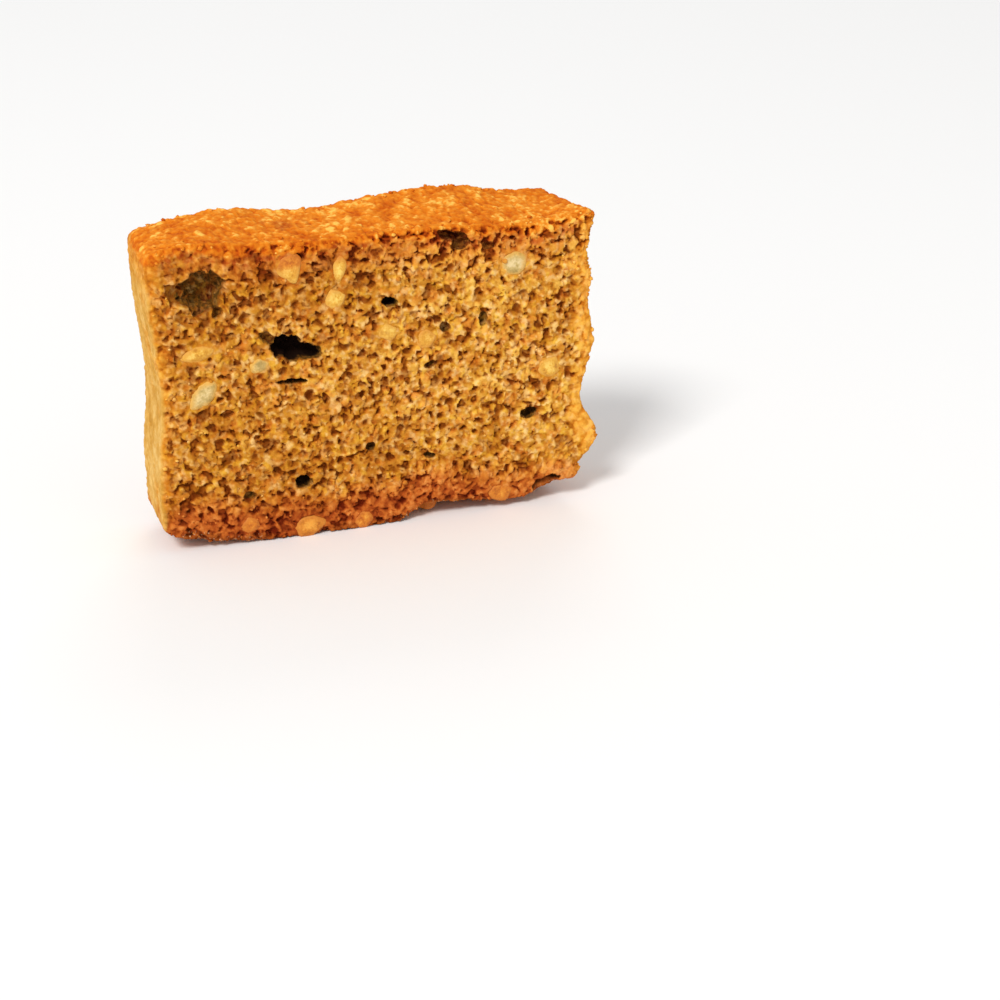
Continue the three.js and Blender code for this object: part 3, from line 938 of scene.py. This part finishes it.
def nut_material():
    """Ivory to brown flesh by the nut's toast, warmer towards its rim."""
    r = Recipe("toasted_nut")
    flesh, rim = r.noise(2.0, 3), r.kept("rim")
    value = r.add_up((flesh, 0.75), (r.noise(0.45), 0.25))
    pale = r.shades(value, (0.36, 172, 142, 76), (0.49, 204, 176, 110), (0.6, 232, 206, 150))
    yellow = r.shades(value, (0.36, 194, 124, 24), (0.49, 228, 168, 56), (0.6, 248, 208, 104))
    tan = r.shades(value, (0.36, 170, 80, 10), (0.49, 214, 124, 28), (0.6, 238, 162, 58))
    brown = r.shades(value, (0.36, 110, 44, 10), (0.49, 156, 78, 28), (0.6, 190, 110, 48))
    toast = r.add_up((r.kept("toast"), 1.0), (flesh, 0.3), (rim, 0.08))
    colour = r.layers(
        pale,
        (r.fit(toast, 0.28, 0.5), yellow),
        (r.fit(toast, 0.5, 0.8), tan),
        (r.fit(toast, 0.95, 1.25), brown),
        (
            r.fit(r.add_up((rim, 1.0), (flesh, 0.6)), 0.85, 1.3, 0.85),
            r.mix(r.fit(toast, 0.4, 0.9), paint(224, 166, 66), paint(200, 112, 30)),
        ),
    )
    return r.finish(colour, r.fit(flesh, 0.2, 0.8, 0.72, 0.5), 0.35, r.bump(value, 0.3, 0.6))


nut_finish = nut_material()
for number, (node, nut) in enumerate(nuts.items()):
    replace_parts(nut_piece("toasted_" + node, nut, toast_of(node, number), number), node)
print("nuts:", len(nuts))

# %% [markdown]
# ## Small chips of nut
# Chopping nuts also makes chips. They were strewn over the top of the loaf, which is the underside
# of this slice. They lie in drifts: a chip stays only where a broad random wave is high, and where
# no larger nut lies.

# %% Strew the chips
CHIP_TRIES = 320
CHIP_HALF_LENGTH = (0.5, 3)
CHIP_SPACING = 0.9  # between two chips, as a share of both half lengths
CHIP_BREADTH, CHIP_THINNESS = (0.55, 0.95), (0.3, 0.6)  # as shares of the half length
CHIP_CUTS = (0.45, 0.85)  # how far out the cuts are, as a share of a chip's reach
CHIP_WIDER = 0.15  # crumb covers a chip's rim less than a nut's
CHIP_ROUND_STEPS, CHIP_HEIGHT_STEPS = 18, 11
CHIP_TOAST = (0.15, 1)  # from the palest chip to the brownest


def chip_places(random):
    """Where chips lie on the underside, and their half lengths: of random places, those in a drift
    and clear of the nuts, the cut faces and the chips kept before them."""
    box = random.uniform(-1, 1, (CHIP_TRIES, 3)) * [0.96, 0.8, 0]
    box[:, 2] = -1
    places, _ = draw_out(box)
    length = blend(*CHIP_HALF_LENGTH, random.random(CHIP_TRIES) ** 1.3)
    drift = waves(places, 13, 141) > random.uniform(-1.0, 0.3, CHIP_TRIES)
    clear = np.min([outside_nut(places, nut) for nut in nuts.values()], axis=0) > 0.5 * length
    clear &= np.abs(places[:, 1]) + length < HALF_DEPTH
    kept = []
    for i in np.flatnonzero(drift & clear):
        apart = np.linalg.norm(places[kept] - places[i], axis=1)
        if np.all(apart > CHIP_SPACING * (length[kept] + length[i])):
            kept.append(i)
    return places[kept], length[kept]


def strewn_chips():
    """All chips as one piece. Each is an ellipsoid, chopped, lying in the crust at a slant."""
    random = np.random.default_rng(25)
    places, lengths = chip_places(random)
    shells = []
    for number, (place, length) in enumerate(zip(places, lengths)):
        size = length * np.array([1, random.uniform(*CHIP_BREADTH), random.uniform(*CHIP_THINNESS)])
        turn, slant = random.uniform(0, 2 * np.pi), random.uniform(-0.3, 0.3)
        ball = directions(BOARDS) * size
        ball = ball @ np.array([[1, 0, slant], [0, 1, 0], [-slant, 0, 1]])
        cos, sin = np.cos(turn), np.sin(turn)
        ball = ball @ np.array([[cos, sin, 0], [-sin, cos, 0], [0, 0, 1]])
        chip = chopped(place + [0, 0, 0.25 * size[2]], ball, 2, CHIP_CUTS, 400 + number, CHIP_WIDER)
        shells.append(nut_shell(chip, CHIP_ROUND_STEPS, CHIP_HEIGHT_STEPS, number))
    points, walls, ends, rim = (np.stack(parts) for parts in zip(*shells))
    points[..., 2] = np.maximum(points[..., 2], 0)
    first = rim.shape[1] * np.arange(len(shells))[:, None, None]
    faces = [(part + first).reshape(-1, part.shape[2]) for part in (walls, ends)]
    toasts = np.repeat(blend(*CHIP_TOAST, random.random(len(shells))), rim.shape[1])
    piece = new_piece("strewn_chips", points.reshape(-1, 3), faces, rim=rim.ravel(), toast=toasts)
    piece.data.materials.append(nut_finish)
    return len(shells)


print("chips:", strewn_chips())

# %% [markdown]
# ## Clinging crumbs
# Cutting leaves crumbs behind. They cling to the cut faces and gather along the edges, where they
# break up the outline. They have the sponge's own material, so each has the colour of its place.

# %% Crumbs that the knife left
CRUMB_COUNT = 800
FRONT_SHARE, RIM_SHARE, SIDE_SHARE = 0.6, 0.4, 0.35  # of all, of those, and of those at a rim
RIM_DEPTH = 0.35  # how far from a cut face crumbs at its rim lie, as a share of the half depth
CRUMB_RADII = (0.26, 0.7)
STRETCH = (0.55, 1.45)  # of each point of a crumb along X, Y and Z
# The colours read the lift as height, which paints a crumb lighter: painted light.
CRUMB_LIFT = 0.1  # what the colours read as the crumb's height


def coarse_ball():
    """The twelve points of an icosahedron of radius 1, and its faces: every three points that are
    next to each other, in the order that faces out."""
    golden = (1 + np.sqrt(5)) / 2
    corners = [(0, s, t * golden) for s in (-1, 1) for t in (-1, 1)]
    points = np.array([np.roll(corner, k) for k in range(3) for corner in corners])
    threes = np.array(list(combinations(range(12), 3)))
    sides = points[threes] - np.roll(points[threes], 1, axis=1)
    threes = threes[np.linalg.norm(sides, axis=2).max(1) < 2.1]
    a, b, c = np.moveaxis(points[threes], 1, 0)
    inward = np.sum(np.cross(b - a, c - a) * a, axis=1) < 0
    threes[inward] = threes[inward][:, ::-1]
    return points / np.linalg.norm(points[0]), threes


def crumb_places(random):
    """Where crumbs cling: box points on the two cut faces, of which a share lies at the rims, at the
    right end or above and below, some a little way in from the cut."""
    box = random.uniform(-1, 1, (CRUMB_COUNT, 3))
    box[:, 1] = np.where(random.random(CRUMB_COUNT) < FRONT_SHARE, -1, 1)
    at_rim = random.random(CRUMB_COUNT) < RIM_SHARE
    on_side = random.random(CRUMB_COUNT) < SIDE_SHARE
    for axis, chosen in ((0, at_rim & on_side), (2, at_rim & ~on_side)):
        box[chosen, axis] = 1 if axis == 0 else np.sign(box[chosen, axis])
        box[chosen, 1] *= 1 - RIM_DEPTH * random.random(chosen.sum()) ** 2
    return box


def clinging_crumbs():
    """All crumbs as one piece. Each is a coarse ball of radius r whose middle is r / 6 above the
    surface, its points stretched at random and flattened to 0.6 along the way out. On the flat map
    each has a square of its own."""
    random = np.random.default_rng(12)
    plain, outward = draw_out(crumb_places(random))
    surface, seen = relief(plain, outward)
    radius = blend(*CRUMB_RADII, random.random(len(plain)) ** 3)
    centre = surface + outward * radius[:, None] / 6
    open_air = (centre[:, 2] > 1) & (seen["shade"] < 0.05) & (seen["pit"] < 0.5)
    plain, centre, outward, radius = (part[open_air] for part in (plain, centre, outward, radius))
    ball, threes = coarse_ball()
    offset = radius[:, None, None] * ball * random.uniform(*STRETCH, (len(centre), len(ball), 3))
    upward = np.sum(offset * outward[:, None], axis=2, keepdims=True)
    points = centre[:, None] + offset - 0.4 * upward * outward[:, None]
    number = np.arange(len(centre))
    faces = (len(ball) * number[:, None, None] + threes).reshape(-1, 3)
    cells = int(np.ceil(np.sqrt(len(centre))))
    corner = np.stack(np.divmod(number, cells), 1)
    flat = (corner[:, None] + 0.5 + 0.4 * ball[:, [0, 2]]) / cells
    piece = new_piece(
        "clinging_crumbs", points.reshape(-1, 3), [faces], [flat.reshape(-1, 2)[faces]],
        tone=np.repeat(random.random(len(centre)), len(ball)),
        lift=np.full(len(centre) * len(ball), CRUMB_LIFT),
        bake=np.repeat(baked(plain), len(ball), axis=0),
    )
    piece.data.materials.append(sponge_finish)
    return len(centre)


print("crumbs:", clinging_crumbs())

# %% [markdown]
# ## Floor, light and camera
# A pale floor and soft light, brightest from the upper left and the front, as in a food studio. The
# camera stands a little to the left of the slice, looks down on it, and is aimed past its lower
# right.

# %% Studio
scene.view_settings.view_transform = "Standard"
FLOOR_REACH = 3.0  # metres


def pale_floor():
    """A square floor, far wider than the view."""
    mesh = bpy.data.meshes.new("studio_floor")
    ground = np.array([(-1, -1, 0), (1, -1, 0), (1, 1, 0), (-1, 1, 0)]) * FLOOR_REACH
    mesh.from_pydata(ground.tolist(), [], [(0, 1, 2, 3)])
    floor = put("studio_floor", mesh)
    finish = bpy.data.materials.new("pale_floor")
    finish.use_nodes = True
    look = finish.node_tree.nodes["Principled BSDF"].inputs
    look["Base Color"].default_value = (0.93, 0.93, 0.93, 1)
    look["Roughness"].default_value = 0.9
    mesh.materials.append(finish)


def lamp(name, place, size, watts, colour=(1, 1, 1)):
    """A square soft lamp at a place in metres, facing the slice."""
    light = bpy.data.lights.new(name, "AREA")
    light.shape = "SQUARE"
    light.size = size
    light.energy = watts
    light.color = colour
    holder = put(name, light)
    holder.location = place
    aim = Vector(((slice_low + slice_high) / 2 * MM).tolist()) - Vector(place)
    holder.rotation_euler = aim.to_track_quat("-Z", "Y").to_euler()


pale_floor()
lamp("key", (-1.5, -1.55, 2.2), 0.8, 64, (1, 0.985, 0.96))
lamp("back", (0.8, 2.0, 1.6), 1.2, 10)
scene.world = bpy.data.worlds.new("studio_air")
scene.world.use_nodes = True
air = scene.world.node_tree.nodes["Background"].inputs
air["Color"].default_value = (1, 1, 1, 1)
air["Strength"].default_value = 0.55

# %% Camera
AZIMUTH, ELEVATION = np.radians(-19.7), np.radians(23.5)
LENS, SENSOR, NEAREST = 72, 36, 10
NEAR_MIDDLE = Vector((-0.8, 0, 36.2))  # a point of the slice
DISTANCE, AIM_ASIDE, AIM_BELOW = 450, 30.3, 31.2  # back, right and down from there to the camera

view = bpy.data.cameras.new("camera")
view.lens, view.sensor_width, view.clip_start = LENS, SENSOR, NEAREST * MM
camera = put("camera", view)
camera.rotation_euler = Euler((np.pi / 2 - ELEVATION, 0, AZIMUTH))
eye = NEAR_MIDDLE + camera.rotation_euler.to_matrix() @ Vector((AIM_ASIDE, -AIM_BELOW, DISTANCE))
camera.location = eye * MM
scene.camera = camera
print("camera at, mm:", eye)
